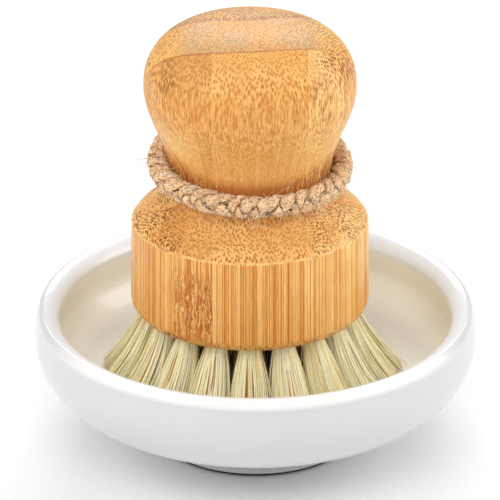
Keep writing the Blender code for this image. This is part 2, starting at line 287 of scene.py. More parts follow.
class Graph:
    """One material's nodes, with short ways to write what they work out."""

    def __init__(self, name):
        self.material = bpy.data.materials.new(name)
        self.material.use_nodes = True
        self.tree = self.material.node_tree
        self.shader = self.tree.nodes["Principled BSDF"]
        self.colour = None

    def put(self, socket, value):
        if isinstance(value, Value):
            value = value.socket
        if isinstance(value, bpy.types.NodeSocket):
            self.tree.links.new(value, socket)
        else:
            socket.default_value = value

    def node(self, kind, inputs=None, **settings):
        made = self.tree.nodes.new("ShaderNode" + kind)
        for key, value in settings.items():
            setattr(made, key, value)
        for key, value in (inputs or {}).items():
            self.put(made.inputs[key], value)
        return made

    def math(self, operation, *values):
        made = self.node("Math", dict(enumerate(values)), operation=operation)
        return Value(self, made.outputs[0])

    def blend(self, share, first, second):
        return (1 - share) * first + share * second

    def vector(self, operation, first, second):
        key = 3 if operation == "SCALE" else 1
        return self.node("VectorMath", {0: first, key: second}, operation=operation).outputs[0]

    def split(self, vector):
        return [Value(self, part) for part in self.node("SeparateXYZ", {0: vector}).outputs]

    def join(self, x, y):
        return self.node("CombineXYZ", {0: x, 1: y}).outputs[0]

    def noise(self, vector, scale, detail=2.0, roughness=0.5, colour=False):
        """Noise of scale features a unit. Three scales stretch it along the axes."""
        if isinstance(scale, tuple):
            vector = self.vector("MULTIPLY", vector, scale)
            scale = 1.0
        inputs = {"Vector": vector, "Scale": scale, "Detail": detail, "Roughness": roughness}
        outputs = self.node("TexNoise", inputs).outputs
        return outputs["Color"] if colour else Value(self, outputs["Fac"])

    def step(self, value, low, high, start=0.0, end=1.0):
        """Smoothly from start, where value is low, to end, where it is high."""
        inputs = {0: value, 1: low, 2: high, 3: start, 4: end}
        made = self.node("MapRange", inputs, interpolation_type="SMOOTHSTEP")
        return Value(self, made.outputs[0])

    def mix(self, share, first, second, kind="MIX"):
        inputs = {0: share, 6: first, 7: second}
        return self.node("Mix", inputs, data_type="RGBA", blend_type=kind).outputs[2]

    def paint(self, name, share):
        """Turns a share of the colour so far to a named shade."""
        self.colour = self.mix(share, self.colour, shade(name))

    def set(self, **values):
        for key, value in values.items():
            self.put(self.shader.inputs[key.replace("_", " ")], value)

    def bump(self, height, strength, distance):
        inputs = {"Height": height, "Strength": strength, "Distance": distance}
        self.set(Normal=self.node("Bump", inputs).outputs[0])

    def place(self):
        """The piece's own coordinates, in millimetres."""
        return self.vector("SCALE", self.node("TexCoord").outputs["Object"], 1000.0)


class Bamboo(Graph):
    """Strips of culm glued side by side. The bundles of fibre run up the block, so they show
    as dots where the turned surface cuts across them and as stripes where it runs along."""

    def __init__(self):
        super().__init__("bamboo")
        self.spot = self.place()
        self.x, self.y, self.z = self.split(self.spot)
        self.aside = abs(self.x)
        self.radius = self.math("SQRT", self.x * self.x + self.y * self.y)
        self.level = abs(self.split(self.node("TexCoord").outputs["Normal"])[2])
        self.upright = self.step(self.level, 0.42, 0.08)
        self.wall = self.upright * self.step(self.z, 24.0, 22.0)
        self.find_strips()
        self.find_grain()
        self.find_bundles()
        self.paint_strips()
        self.paint_stripes()
        self.paint_bundles()
        self.paint_figure()
        self.paint_joins()
        self.paint_rope_shadow()
        rough = self.step(self.dots, 0.0, 1.0, 0.45, 0.62)
        self.set(Base_Color=self.colour, Roughness=rough, Specular_IOR_Level=0.4)
        self.bump(self.fine * 0.35 - self.dots * 0.6, 0.35, 0.00006)

    def find_strips(self):
        """Two bowed glue lines cross the block, and two seams part the front strips."""
        bow = self.x * self.x * GLUE_BOW
        self.front_line = self.y - (bow + self.x * FRONT_GLUE_SLOPE) - FRONT_GLUE
        self.back_line = self.y - (bow + self.x * BACK_GLUE_SLOPE) - BACK_GLUE
        self.left_line = self.x - LEFT_SEAM
        self.right_line = self.x - RIGHT_SEAM
        self.in_front = self.step(self.front_line, GLUE_HALF_WIDTH, -GLUE_HALF_WIDTH)
        self.in_back = self.step(self.back_line, -GLUE_HALF_WIDTH, GLUE_HALF_WIDTH)
        self.on_left = self.step(self.left_line, GLUE_HALF_WIDTH, -GLUE_HALF_WIDTH)
        self.on_right = self.step(self.right_line, -GLUE_HALF_WIDTH, GLUE_HALF_WIDTH)
        self.band = self.step(self.back_line, 4.6, 1.0) * self.in_back

    def sway(self, scale, detail, roughness, reach):
        wander = self.noise(self.spot, scale, detail, roughness, colour=True)
        return self.vector("SCALE", self.vector("SUBTRACT", wander, (0.5, 0.5, 0.5)), reach)

    def find_grain(self):
        """The figure that a joint of the culm leaves in the left front strip, where the
        grain wanders, and a slight drift everywhere."""
        across = self.step(self.x, -18.5, -15.5) * self.step(self.x, -8.3, -8.5)
        upward = self.step(self.z, -1.0, 6.0) * self.step(self.z, 21.0, 15.0)
        self.figure = across * upward * self.in_front
        self.wander = self.sway((0.5, 0.5, 0.22), 1.5, 0.6, self.figure * 2.2)
        drift = self.sway((0.13, 0.13, 0.0), 1.0, 0.5, 2.2)
        self.grain = self.vector("ADD", self.vector("ADD", self.spot, self.wander), drift)
        self.fine = self.noise(self.grain, (4.6, 4.6, 0.25), 1.0, 0.6)

    def bundles(self, cell, size, turn, scatter):
        """Dots about one cell apart, the paler wood round each, and each one's own tone."""
        turned = self.node("VectorRotate", {0: self.grain, "Angle": turn}, rotation_type="Z_AXIS")
        spaced = self.vector("MULTIPLY", turned.outputs[0], (1 / cell, 1 / cell, 0))
        inputs = {"Vector": spaced, "Scale": 1.0, "Randomness": scatter}
        cells = self.node("TexVoronoi", inputs, voronoi_dimensions="2D")
        tone = Value(self, self.node("SeparateColor", {0: cells.outputs["Color"]}).outputs[0])
        far = cells.outputs["Distance"]
        reach = (tone * 0.7 + 0.6) * size
        core = self.step(far, reach, reach * 0.5)
        halo = self.step(far, reach * 1.05, reach * 1.7)
        return core, halo, tone

    def find_bundles(self):
        """In the front strips, closer and larger at the skin than inside."""
        uneven = self.noise(self.spot, 0.12) * 7.0
        skin = self.step(abs(self.x + 1.5) + uneven, 15.0, 21.0)
        wide, wide_halo, self.bundle_tone = self.bundles(0.7, 0.31, 0.5, 0.8)
        close, close_halo, _ = self.bundles(0.64, 0.46, 1.0, 0.6)
        tight, tight_halo, _ = self.bundles(0.68, 0.38, 0.3, 0.6)
        strength = self.bundle_strength()
        dots = self.blend(self.in_front, tight, self.blend(skin, wide, close))
        halo = self.blend(self.in_front, tight_halo, self.blend(skin, wide_halo, close_halo))
        self.dots = dots * strength
        self.halo = halo * strength
        self.skin = self.math("MAXIMUM", skin, self.band)

    def bundle_strength(self):
        """Fainter at the pith and on the neck, in patches, and broken up on the sides."""
        pith = self.on_left * self.step(self.x, -19.0, -12.0) * 0.25
        front = self.step(self.radius, 14.0, 20.0, 0.6, 1.0) * (1 - pith)
        middle = self.step(self.y, -14.0, -2.0, 0.62, 0.95) + self.band * 0.6
        neck = self.step(self.z, 62.0, 48.0) * self.step(self.z, 32.0, 36.0)
        strength = self.blend(self.in_front, middle, front) * (1 - neck * 0.8)
        patches = self.step(self.noise(self.spot, 0.16), 0.32, 0.62, 0.55, 1.0)
        breaks = self.noise(self.grain, (1.3, 1.3, 0.6), 2.0, 0.6)
        breaks = self.step(breaks, 0.58, 0.46) * self.upright
        return strength * patches * (1 - breaks)

    def paint_strips(self):
        """Each strip's own tone, and what differs on the neck, the wall and the shoulder. The
        knob's edges and the wall's and neck's sides are drawn lighter: painted light.
        """
        self.colour = self.mix(self.on_left, shade("front"), shade("front_left"))
        # Painted light: the knob's left edge is drawn lighter, as where light grazes it
        self.paint("front_left_edge_light", self.step(self.x, -17.0, -22.0))
        # The strip right of the seam has its own tint, drawn paler still as painted light on the
        # right
        self.paint("front_right_tint_and_light", self.on_right)
        # Painted highlight: the middle strip is drawn lighter towards the knob's sides
        edges = self.step(self.aside, 12.0, 19.0)
        middle = self.mix(edges, shade("middle"), shade("middle_edge_light"))
        self.colour = self.mix(1 - (self.in_front + self.in_back), self.colour, middle)
        self.paint("back", self.in_back)
        # Painted light: the neck's sides are drawn lighter, lifting the shade that falls round
        # the neck
        beside = self.step(self.aside, 8.0, 14.0) * self.step(self.z, 55.0, 46.0)
        self.paint("neck_side_light", beside * self.step(self.z, 32.0, 36.0) * 0.85)
        self.paint("wall_left", self.wall * self.step(self.x, -14.0, -18.0, 0.0, 0.8))
        # Painted light: the wall is drawn lighter at its left edge and on its right side, as if
        # lit there
        self.paint("wall_left_edge_light", self.wall * self.step(self.x, -22.0, -26.5))
        self.paint("wall_right_light", self.wall * self.step(self.x, 6.0, 20.0, 0.0, 0.95))
        clouds = self.noise(self.spot, (0.1, 0.1, 0.07))
        self.paint("cloud", self.step(clouds, 0.38, 0.68, 0.0, 0.7))
        self.paint("figure", self.figure * 0.7)
        low = self.step(self.z, 38.0, 34.0) * (1 - self.wall)
        self.low = low * self.step(self.aside, 18.0, 10.0)
        self.paint("shoulder", self.low * 0.7)

    def paint_stripes(self):
        """Paler and darker fibres: stripes down the wall, short streaks on the knob's side."""
        outward = self.math("DIVIDE", STRIPE_RADIUS, self.radius)
        around = self.vector("SCALE", self.join(self.x, self.y), outward)
        around = self.vector("ADD", around, self.wander)
        broad = self.noise(around, (0.55, 0.55, 0.0), 1.0)
        stripes = self.noise(around, (1.5, 1.5, 0.0), 2.0, 0.6)
        threads = self.noise(around, (3.0, 3.0, 0.0), 1.0, 0.6)
        short = self.noise(self.grain, (2.6, 2.6, 0.45), 2.0, 0.6)
        knob_side = self.step(self.level, 0.62, 0.38) * self.step(self.z, 34.0, 37.0)
        streaky = knob_side * self.step(self.z, 43.0, 51.0, 0.38, 1.0)
        striped = self.wall * self.step(self.x, 7.0, 18.0, 0.85, 0.5) + 0.08 + knob_side * 0.22
        layers = (
            ("dark_band", broad, 0.5, 0.62, 0.6, striped * (1 - self.figure * 0.6)),
            ("light_band", broad, 0.48, 0.38, 0.6, striped),
            ("dark_stripe", stripes, 0.52, 0.6, 0.85, striped),
            ("light_stripe", stripes, 0.46, 0.39, 0.6, striped),
            ("dark_thread", threads, 0.55, 0.62, 0.45, self.wall),
            ("light_thread", threads, 0.43, 0.36, 0.45, self.wall),
            ("streak", short, 0.5, 0.6, 0.8, streaky),
            ("gleam", short, 0.46, 0.36, 0.5, streaky),
        )
        for name, fibres, low, high, most, where in layers:
            self.paint(name, self.step(fibres, low, high, 0.0, most) * where)
        tone = self.step(self.fine, 0.3, 0.7, 0.88, 1.08)
        channels = {index: tone * depth for index, depth in enumerate(WOOD_DEPTH)}
        depths = self.node("CombineColor", channels).outputs[0]
        self.colour = self.mix(1.0, self.colour, depths, "MULTIPLY")

    def paint_bundles(self):
        """The dots, darkest at the skin and low on the shoulder's left."""
        quiet = 1 - self.wall * 0.9
        self.paint("halo", self.halo * quiet * 0.55)
        dark = self.mix(self.bundle_tone, shade("bundle"), shade("faint_bundle"))
        near_skin = self.math("MAXIMUM", self.skin, self.low * 0.6)
        dark = self.mix(near_skin, dark, shade("skin_bundle"))
        deepest = self.step(self.x, -10.0, -16.0) * self.step(self.z, 40.0, 36.0)
        dark = self.mix(deepest, dark, shade("deepest_bundle"))
        depth = self.dots * quiet * self.step(self.skin, 0.0, 1.0, 0.82, 0.88)
        depth = self.math("MINIMUM", depth * (deepest * 0.25 + 1), 1.0)
        self.colour = self.mix(depth, self.colour, dark)

    def paint_figure(self):
        curl = self.noise(self.grain, (2.0, 2.0, 0.16))
        self.paint("figure_patch", self.step(curl, 0.53, 0.6) * self.figure * 0.25)
        line = self.step(abs(curl - 0.53), 0.04, 0.012)
        self.paint("figure_curl", line * self.figure * 0.8)

    def paint_joins(self):
        """The glue lines, the seams, and a painted highlight along the top edge of the wall."""
        self.paint("back_band", self.band * 0.3)
        glue = self.math("MINIMUM", abs(self.front_line), abs(self.back_line))
        self.paint("glue", self.step(glue, 0.3, 0.05, 0.0, 0.6))
        beside = self.math("MINIMUM", abs(self.left_line), abs(self.right_line) + 0.06)
        seam = self.step(beside, 0.22, 0.04) * self.in_front
        self.paint("seam", seam * self.step(self.wall, 0.0, 1.0, 0.14, 0.6))
        # Painted highlight along the wall's top edge, broken into patches
        edge = self.step(abs(self.z - (HEAD_HEIGHT - 0.2)), 0.36, 0.12)
        highlight_patches = self.step(self.noise(self.spot, 0.5), 0.35, 0.6, 0.15, 0.55)
        self.paint("edge_highlight", edge * self.step(self.radius, 26.8, 27.2) * highlight_patches)

    def paint_rope_shadow(self):
        """Painted shadow of the rope at the foot of the neck, broken along the fibres at the
        sides.
        """
        top = self.step(self.aside, 8.0, 17.0) * ROPE_SHADOW_RISE_AT_SIDES + ROPE_SHADOW_TOP
        rise = self.math("DIVIDE", self.z - ROPE_SHADOW_FOOT, top - ROPE_SHADOW_FOOT)
        rope_shadow = self.step(rise, 1.15, 0.45) * self.step(self.z, 32.0, 34.0)
        threads = self.noise(self.grain, (2.2, 2.2, 0.22), 2.0, 0.6)
        threads = self.step(threads, 0.43, 0.55, 0.2, 1.0)
        threads = self.blend(self.step(self.aside, 5.0, 12.0), 0.72, threads)
        # Painted shadow of the rope, darkening the neck's foot
        self.paint("rope_shadow", rope_shadow * threads * 0.8)


def glaze_material():
    """White glaze, with the faint waves of a fired surface. Light and shade are painted in: it is
    lighter and creamier in the bowl than on the outer side, and a painted contact shadow
    darkens the foot's ring."""
    g = Graph("white_glaze")
    place = g.place()
    x, y, z = g.split(place)
    away = g.node("VectorMath", {0: g.join(x, y)}, operation="NORMALIZE").outputs[0]
    normal = g.node("TexCoord").outputs["Normal"]
    facing = g.node("VectorMath", {0: away, 1: normal}, operation="DOT_PRODUCT").outputs["Value"]
    tint = g.step(g.noise(place, 0.035), 0.35, 0.65)
    # Painted light: the bowl and the belly's downward face by the foot are drawn lighter and
    # warmer,
    # the outer side greyer, as in shade
    inner = g.mix(tint, shade("bowl"), shade("lit_bowl_cool"))
    outer = g.mix(tint, shade("shaded_outer_side"), shade("shaded_outer_side_cool"))
    bottom = g.step(z, 22.0, 12.0) * g.step(facing, 0.3, 0.1)
    bowl = g.math("MAXIMUM", g.step(facing, -0.25, -0.75), bottom)
    g.colour = g.mix(bowl, outer, inner)
    # Painted light: the front of the lip is drawn lighter, as if lit from above
    g.paint("front_lip_highlight", g.step(y, -18.0, -40.0) * g.step(z, 30.9, 32.4))
    # Painted light: the lip's inward slope is drawn cooler, cancelling the warm light bounced
    # from the wood
    g.paint("lip", g.step(facing, -0.05, -0.3) * g.step(z, 28.5, 30.5))
    # Painted contact shadow: the foot's ring is drawn nearly black where it meets the floor
    foot_shadow = g.step(z, 0.7, 0.6)
    g.paint("foot_contact_shadow", foot_shadow)
    rough = g.step(bowl, 0.0, 1.0, 0.12, 0.26) + foot_shadow * 0.5
    g.set(Base_Color=g.colour, Roughness=rough, Specular_IOR_Level=0.5)
    g.set(Coat_Weight=0.25, Coat_Roughness=0.08)
    g.bump(g.noise(place, 0.09), 0.12, 0.0006)
    return g.material


def bristle_material():
    """Plant fibre: each strand has a tone of its own, with painted shade toward the head."""
    g = Graph("plant_bristle")
    tone = g.node("Attribute", attribute_name="strand_tone").outputs["Fac"]
    along = g.node("Attribute", attribute_name="strand_along").outputs["Fac"]
    fleck = g.noise(g.place(), (2.4, 2.4, 0.35))
    ramp = g.node("ValToRGB", {0: tone})
    tones = ramp.color_ramp.elements
    for position, _ in BRISTLE_TONES[1:-1]:
        tones.new(position)
    for element, (_, seen) in zip(tones, BRISTLE_TONES):
        element.color = linear(*seen)
    g.colour = ramp.outputs[0]
    g.paint("bristle_fleck", g.step(fleck, 0.5, 0.75, 0.0, 0.15))
    # Painted shade on the fibres near the head, which stands over them
    g.paint("bristle_root_shade", g.step(along, 0.14, 0.0, 0.0, 0.25))
    rough = g.step(fleck, 0.3, 0.7, 0.3, 0.46)
    g.set(Base_Color=g.colour, Roughness=rough, Specular_IOR_Level=0.8)
    g.set(Sheen_Weight=0.8, Sheen_Roughness=0.35, Sheen_Tint=shade("bristle_sheen"))
    g.bump(fleck, 0.2, 0.00004)
    return g.material


def jute_material():
    """Fibres laid along each strand with a twist. Shade is painted in where strands press
    together.
    """
    g = Graph("jute")
    u, v, _ = g.split(g.node("UVMap", uv_map="yarn").outputs[0])
    fibres = g.noise(g.join(u * 36.0, v * 0.6), 1.0, 3.0, 0.65)
    patches = g.step(g.noise(g.place(), 0.5), 0.35, 0.65)
    g.colour = g.mix(patches, shade("jute"), shade("pale_jute"))
    g.paint("dark_fibre", g.step(fibres, 0.52, 0.62, 0.0, 0.85))
    g.paint("pale_fibre", g.step(fibres, 0.46, 0.34, 0.0, 0.8))
    # Painted shade in the crevices where the strands press together
    pressed = g.node("Attribute", attribute_name="pressed").outputs["Fac"]
    uneven = g.step(g.noise(g.place(), 0.7, 1.0), 0.35, 0.62, 0.45, 1.0)
    g.paint("jute_crevice_shade", g.step(pressed, 0.2, 0.85) * uneven)
    rough = g.step(fibres, 0.3, 0.7, 0.8, 0.95)
    g.set(Base_Color=g.colour, Roughness=rough, Specular_IOR_Level=0.2)
    g.bump(fibres, 0.6, 0.00012)
    return g.material


def jute_fibre_material():
    """Single fibres, from brown to nearly white."""
    g = Graph("jute_fibre")
    tone = g.noise(g.place(), 2.2, 1.0)
    colour = g.mix(g.step(tone, 0.36, 0.6), shade("brown_whisker"), shade("straw_whisker"))
    g.set(Base_Color=colour, Roughness=g.step(tone, 0.3, 0.7, 0.6, 0.8), Specular_IOR_Level=0.3)
    return g.material


def new_piece(mesh, material, body, place=(0, 0, 0)):
    """An object with the mesh's name that moves with a body. Its place is in millimetres."""
    piece = bpy.data.objects.new(mesh.name, mesh)
    piece.location = Vector(place) * MM
    scene.collection.objects.link(piece)
    mesh.materials.append(material)
    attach(piece, body)
    return piece


def finished(name, shape):
    """The mesh of a shape, which is freed."""
    mesh = bpy.data.meshes.new(name)
    shape.to_mesh(mesh)
    shape.free()
    return mesh


def turns(sides):
    """Angles spaced evenly round a circle."""
    return [2 * math.pi * side / sides for side in range(sides)]


def between(start, end, share):
    return start + (end - start) * share


def curve(start, middle, end, share):
    """From start to end, through middle halfway."""
    pull = middle * 2 - (start + end) / 2
    return start * (1 - share) ** 2 + pull * 2 * share * (1 - share) + end * share**2


def arc(centre, width, height, start, end, steps, exponent=1.0):
    """Points along an ellipse. An exponent under 1 makes it fuller, one over 1 leaner."""
    points = []
    for step in range(steps + 1):
        angle = between(start, end, step / steps)
        across = math.copysign(abs(math.cos(angle)) ** exponent, math.cos(angle))
        up = math.copysign(abs(math.sin(angle)) ** exponent, math.sin(angle))
        points.append((centre[0] + width * across, centre[1] + height * up))
    return points


def eased(start, end, steps, exponent=1.0):
    """The points of a line that runs upright at both its ends, without the ends."""
    points = []
    for step in range(1, steps):
        share = (step / steps) ** exponent
        turn = (1 - math.cos(math.pi * share)) / 2
        points.append((between(start[0], end[0], turn), between(start[1], end[1], step / steps)))
    return points


def lathe(name, points, steps):
    """A closed mesh turned from (radius, height) points in millimetres, from the axis
    at the top down the outer side to the axis again."""
    shape = bmesh.new()
    rings = []
    for radius, height in points:
        if radius < 0.001:
            rings.append([shape.verts.new((0, 0, height * MM))])
            continue
        ring = []
        for angle in turns(steps):
            flat = (radius * MM * math.cos(angle), radius * MM * math.sin(angle), height * MM)
            ring.append(shape.verts.new(flat))
        rings.append(ring)
    for upper, lower in zip(rings, rings[1:]):
        for step in range(steps):
            above = (upper[step % len(upper)], upper[(step + 1) % len(upper)])
            below = (lower[step % len(lower)], lower[(step + 1) % len(lower)])
            # At the axis two corners are one, so the face is a triangle
            shape.faces.new(tuple(dict.fromkeys((above[0], *below, above[1]))))
    for face in shape.faces:
        face.smooth = True
    bmesh.ops.recalc_face_normals(shape, faces=shape.faces)
    return finished(name, shape)


def bowl_points():
    """The dish's inner surface, from the edge of its flat floor up to the widest place."""
    width = BELLY_RADIUS - DISH_WALL - DISH_FLOOR_RADIUS
    centre = (DISH_FLOOR_RADIUS, BELLY_Z - INNER_BELLY_DROP)
    height = centre[1] - DISH_FLOOR_Z
    return arc(centre, width, -height, UPRIGHT, 0, 40, BOWL_EXPONENT)


def dish_points():
    bowl = bowl_points()
    rim = BELLY_RADIUS - RIM_TUCK
    low = DISH_HEIGHT - LIP_DROP
    lip = arc((rim, low), LIP_WIDTH, LIP_DROP, math.pi, UPRIGHT, 14, LIP_EXPONENT)
    lip += arc((rim, BELLY_Z), RIM_TUCK, DISH_HEIGHT - BELLY_Z, UPRIGHT, 0, 12)[1:]
    centre = (BELLY_RADIUS - BELLY_ROUND, BELLY_Z)
    across = FOOT_RADIUS - centre[0]
    down = FOOT_HEIGHT - centre[1]
    leaving = math.atan2(down, across) + math.acos(BELLY_ROUND / math.hypot(across, down))
    belly = arc(centre, BELLY_ROUND, BELLY_ROUND, 0, leaving, 24)[1:]
    inside = FOOT_RADIUS - FOOT_RING_WIDTH
    edge = (FOOT_RADIUS - FOOT_EDGE, FOOT_EDGE)
    foot = [(FOOT_RADIUS + 0.5, FOOT_HEIGHT + 0.25), (FOOT_RADIUS + 0.1, FOOT_HEIGHT - 0.1)]
    foot += arc(edge, FOOT_EDGE, FOOT_EDGE, 0, -UPRIGHT, 5)
    foot += [(inside + 0.2, 0), (inside, 0.15), (inside - FOOT_EDGE, FOOT_RECESS - 0.3)]
    foot += [(inside - FOOT_EDGE - 0.4, FOOT_RECESS), (0, FOOT_RECESS)]
    return [(0, DISH_FLOOR_Z)] + bowl + eased(bowl[-1], lip[0], 8) + lip + belly + foot


def dish_height_at(x, y, bowl):
    """How high the dish's inner surface lies there."""
    radius = math.hypot(x, y)
    for (near, low), (far, high) in zip(bowl, bowl[1:]):
        if near < radius <= far:
            return between(low, high, (radius - near) / (far - near))
    return DISH_FLOOR_Z


def handle_points():
    crown = arc((KNOB_FLAT, WIDEST_Z), KNOB_RADIUS - KNOB_FLAT, KNOB_CROWN, UPRIGHT, 0, 40,
                CROWN_EXPONENT)
    neck = (NECK_RADIUS, NECK_Z)
    points = [(0, WIDEST_Z + KNOB_CROWN)] + crown + eased(crown[-1], neck, 24, KNOB_FALL) + [neck]
    top = HEAD_RADIUS - HEAD_TAPER
    edge = (top - HEAD_TOP_EDGE, HEAD_HEIGHT - HEAD_TOP_EDGE)
    for step in range(1, SHOULDER_STEPS + 1):
        share = step / SHOULDER_STEPS
        hollow = share**SHOULDER_EXPONENT
        swelling = (1 - math.cos(math.pi * hollow)) / 2
        out = between(hollow, swelling, SHOULDER_SWELL)
        points.append((between(NECK_RADIUS, edge[0], out), NECK_Z - SHOULDER_HEIGHT * share))
    points += arc(edge, HEAD_TOP_EDGE, HEAD_TOP_EDGE, UPRIGHT, 0, 4)[1:]
    for step in range(1, WALL_STEPS):
        share = step / WALL_STEPS
        points.append((top + HEAD_TAPER * share, between(edge[1], HEAD_ROUND, share)))
    inward = HEAD_RADIUS - HEAD_ROUND
    points += arc((inward, HEAD_ROUND), HEAD_ROUND, -HEAD_ROUND, 0, UPRIGHT, 12)
    return points + [(inward - 4, 0), (0, 0)]


def tuft_places():
    """The name of each tuft, its hole's place on the underside, and its ring."""
    places = [("tuft_centre", Vector((0, 0, 0)), 0)]
    for ring, word in ((1, "inner"), (2, "middle"), (3, "outer")):
        count = 6 * ring
        for index in range(count):
            angle = 2 * math.pi * (index + ring / 2) / count
            place = Vector((math.cos(angle), math.sin(angle), 0)) * RING_RADIUS * ring / 3
            places.append((f"tuft_{word}_{index + 1:02d}", place, ring))
    return places


def make_handle(material):
    """The turned block, with a hole for each tuft drilled into its underside."""
    mesh = lathe("handle_turned", handle_points(), HANDLE_SIDES)
    handle = new_piece(mesh, material, "brush", (BRUSH_X, 0, UNDERSIDE_Z))
    shape = bmesh.new()
    for _, place, _ in tuft_places():
        middle = place + Vector((0, 0, (HOLE_DEPTH - HOLE_OVERCUT) / 2))
        bmesh.ops.create_cone(shape, cap_ends=True, segments=HOLE_SIDES,
                              radius1=HOLE_RADIUS * MM, radius2=HOLE_RADIUS * MM,
                              depth=(HOLE_DEPTH + HOLE_OVERCUT) * MM,
                              matrix=Matrix.Translation(middle * MM))
    holes = bpy.data.objects.new("holes", finished("holes", shape))
    scene.collection.objects.link(holes)
    holes.location = handle.location
    cut = handle.modifiers.new("holes", "BOOLEAN")
    cut.operation = "DIFFERENCE"
    cut.object = holes
    bpy.context.view_layer.update()
    graph = bpy.context.evaluated_depsgraph_get()
    drilled = bpy.data.meshes.new_from_object(handle.evaluated_get(graph))
    handle.modifiers.clear()
    handle.data = drilled
    bpy.data.objects.remove(holes)
    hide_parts("handle")


def way_at(line, index):
    """The way a line runs at one of its points."""
    before = line[max(index - 1, 0)]
    after = line[min(index + 1, len(line) - 1)]
    return (after - before).normalized()


def skinned(shape, rings):
    """Closes rings of corners to a tube. Gives each side face with its ring and side."""
    faces = []
    for index, (first, second) in enumerate(zip(rings, rings[1:])):
        sides = len(first)
        for side in range(sides):
            after = (side + 1) % sides
            face = shape.faces.new((first[side], first[after], second[after], second[side]))
            face.smooth = True
            faces.append((face, index, side))
    shape.faces.new(rings[0][::-1])
    shape.faces.new(rings[-1])
    return faces


def tube(shape, line, radii, sides, layers=(), marks=()):
    """Adds a tube round a line of points to shape. marks sets a value along each layer."""
    rings = []
    normal = way_at(line, 0).orthogonal().normalized()
    for index, point in enumerate(line):
        way = way_at(line, index)
        normal = (normal - way * normal.dot(way)).normalized()
        other = way.cross(normal)
        ring = []
        for angle in turns(sides):
            out = normal * math.cos(angle) + other * math.sin(angle)
            corner = shape.verts.new((point + out * radii[index]) * MM)
            for layer, values in zip(layers, marks):
                corner[layer] = values[index]
            ring.append(corner)
        rings.append(ring)
    skinned(shape, rings)


def tuft_lean(place):
    """How far a tuft's tips lie from its hole. The left side's are a little less spread."""
    lean = place * ((SPREAD_RADIUS - FAN_RADIUS) / RING_RADIUS - 1)
    lean.x *= 1 - LEFT_HELD_IN * max(0.0, -place.x / RING_RADIUS)
    return lean


def tuft_heart(shape, layers, place, lean, chance, bowl):
    """The packed fibres within an outer tuft, as one fluted core that the loose ones cover.
    Its dark tones are painted shade between the fibres.
    """
    outward = place.normalized()
    flutes = [chance.uniform(*HEART_FLUTES) for _ in range(HEART_SIDES)]
    tones = [chance.uniform(*HEART_SHADE_TONES) for _ in range(HEART_SIDES)]
    wide = FAN_RADIUS * HEART_WIDTH
    middle = BULGE * (TUFT_RADIUS + wide * FLARE)
    rings = []
    for step in range(HEART_STEPS + 1):
        share = step / HEART_STEPS
        reach = curve(TUFT_RADIUS, middle, wide, share)
        shift = lean * curve(0, HEART_LEAN, 1, share)
        ring = []
        for angle, flute, tone in zip(turns(HEART_SIDES), flutes, tones):
            out = Vector((math.cos(angle), math.sin(angle), 0)) * reach * flute
            out -= outward * out.dot(outward) * HEART_FLATTENED * share
            point = shift + out
            below = place + lean + out
            low = dish_height_at(BRUSH_X + below.x, below.y, bowl)
            point.z = between(HEART_TOP, low + HEART_GAP - UNDERSIDE_Z, share)
            corner = shape.verts.new(point * MM)
            corner[layers[0]] = tone
            corner[layers[1]] = max(0.12, share)
            ring.append(corner)
        rings.append(ring)
    for first, second in zip(rings, rings[1:]):
        for side in range(HEART_SIDES):
            after = (side + 1) % HEART_SIDES
            shape.faces.new((first[side], second[side], second[after], first[after]))
    shape.faces.new(rings[0])
    shape.faces.new(rings[-1][::-1])


def make_tuft(name, place, ring, chance, bowl, material):
    """Fibres that leave one hole together and fan out down to the dish."""
    shape = bmesh.new()
    layers = [shape.verts.layers.float.new(key) for key in ("strand_tone", "strand_along")]
    lean = tuft_lean(place)
    outer = ring == OUTER_RING
    count = FIBRE_COUNTS[ring]
    spread = FIBRE_SPREADS[ring]
    deep_spread = OUTER_DEPTH_SPREAD if outer else spread
    outward = place.normalized()
    if outer:
        tuft_heart(shape, layers, place, lean, chance, bowl)
    for index in range(count):
        reach = math.sqrt((index + 0.5) / count)
        if outer:
            reach = 0.5 + 0.5 * reach
            if index % STRAY_EVERY == 0:
                reach *= chance.uniform(1.0, STRAY_REACH)
        angle = index * GOLDEN_ANGLE + chance.uniform(-0.3, 0.3)
        out = Vector((math.cos(angle), math.sin(angle), 0))
        root = out * min(1.0, reach) * (TUFT_RADIUS - 0.1)
        wander = Vector((chance.gauss(0, 1), chance.gauss(0, 1), 0)) * FAN_RADIUS * FIBRE_WANDER
        fan = out * spread - outward * out.dot(outward) * (spread - deep_spread)
        tip = lean + fan * reach * FAN_RADIUS + wander
        radius = chance.uniform(*FIBRE_RADII)
        floor = dish_height_at(BRUSH_X + place.x + tip.x, place.y + tip.y, bowl)
        tip.z = floor + TIP_GAP + radius + abs(chance.gauss(0, 0.5)) - UNDERSIDE_Z
        bulge = BULGE + chance.uniform(-0.06, 0.06)
        middle = lean * FIBRE_LEAN + (root + (tip - lean) * FLARE) * bulge
        middle.z = tip.z / 2
        sway = Vector((chance.gauss(0, 1), chance.gauss(0, 1), 0)) * FIBRE_SWAY
        line = [Vector((root.x, root.y, FIBRE_START))]
        for step in range(FIBRE_STEPS + 1):
            share = step / FIBRE_STEPS
            swayed = sway * math.sin(math.pi * share * 1.5) * share
            line.append(curve(root, middle, tip, share) + swayed)
        points = len(line)
        radii = [radius * (1 - FIBRE_TAPER * k / points) for k in range(points)]
        # Inner tufts are drawn darker: painted shade, as they stand in the outer ones' shadow
        tone = chance.gauss(OUTER_TONE if outer else INNER_SHADE_TONE, TONE_SPREAD)
        tones = [min(1.0, max(0.0, tone))] * points
        along = [k / (points - 1) for k in range(points)]
        tube(shape, line, radii, FIBRE_SIDES, layers, (tones, along))
    mesh = finished(name.replace("tuft", "bristles"), shape)
    piece = new_piece(mesh, material, "brush", (BRUSH_X + place.x, place.y, UNDERSIDE_Z))
    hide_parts(name)


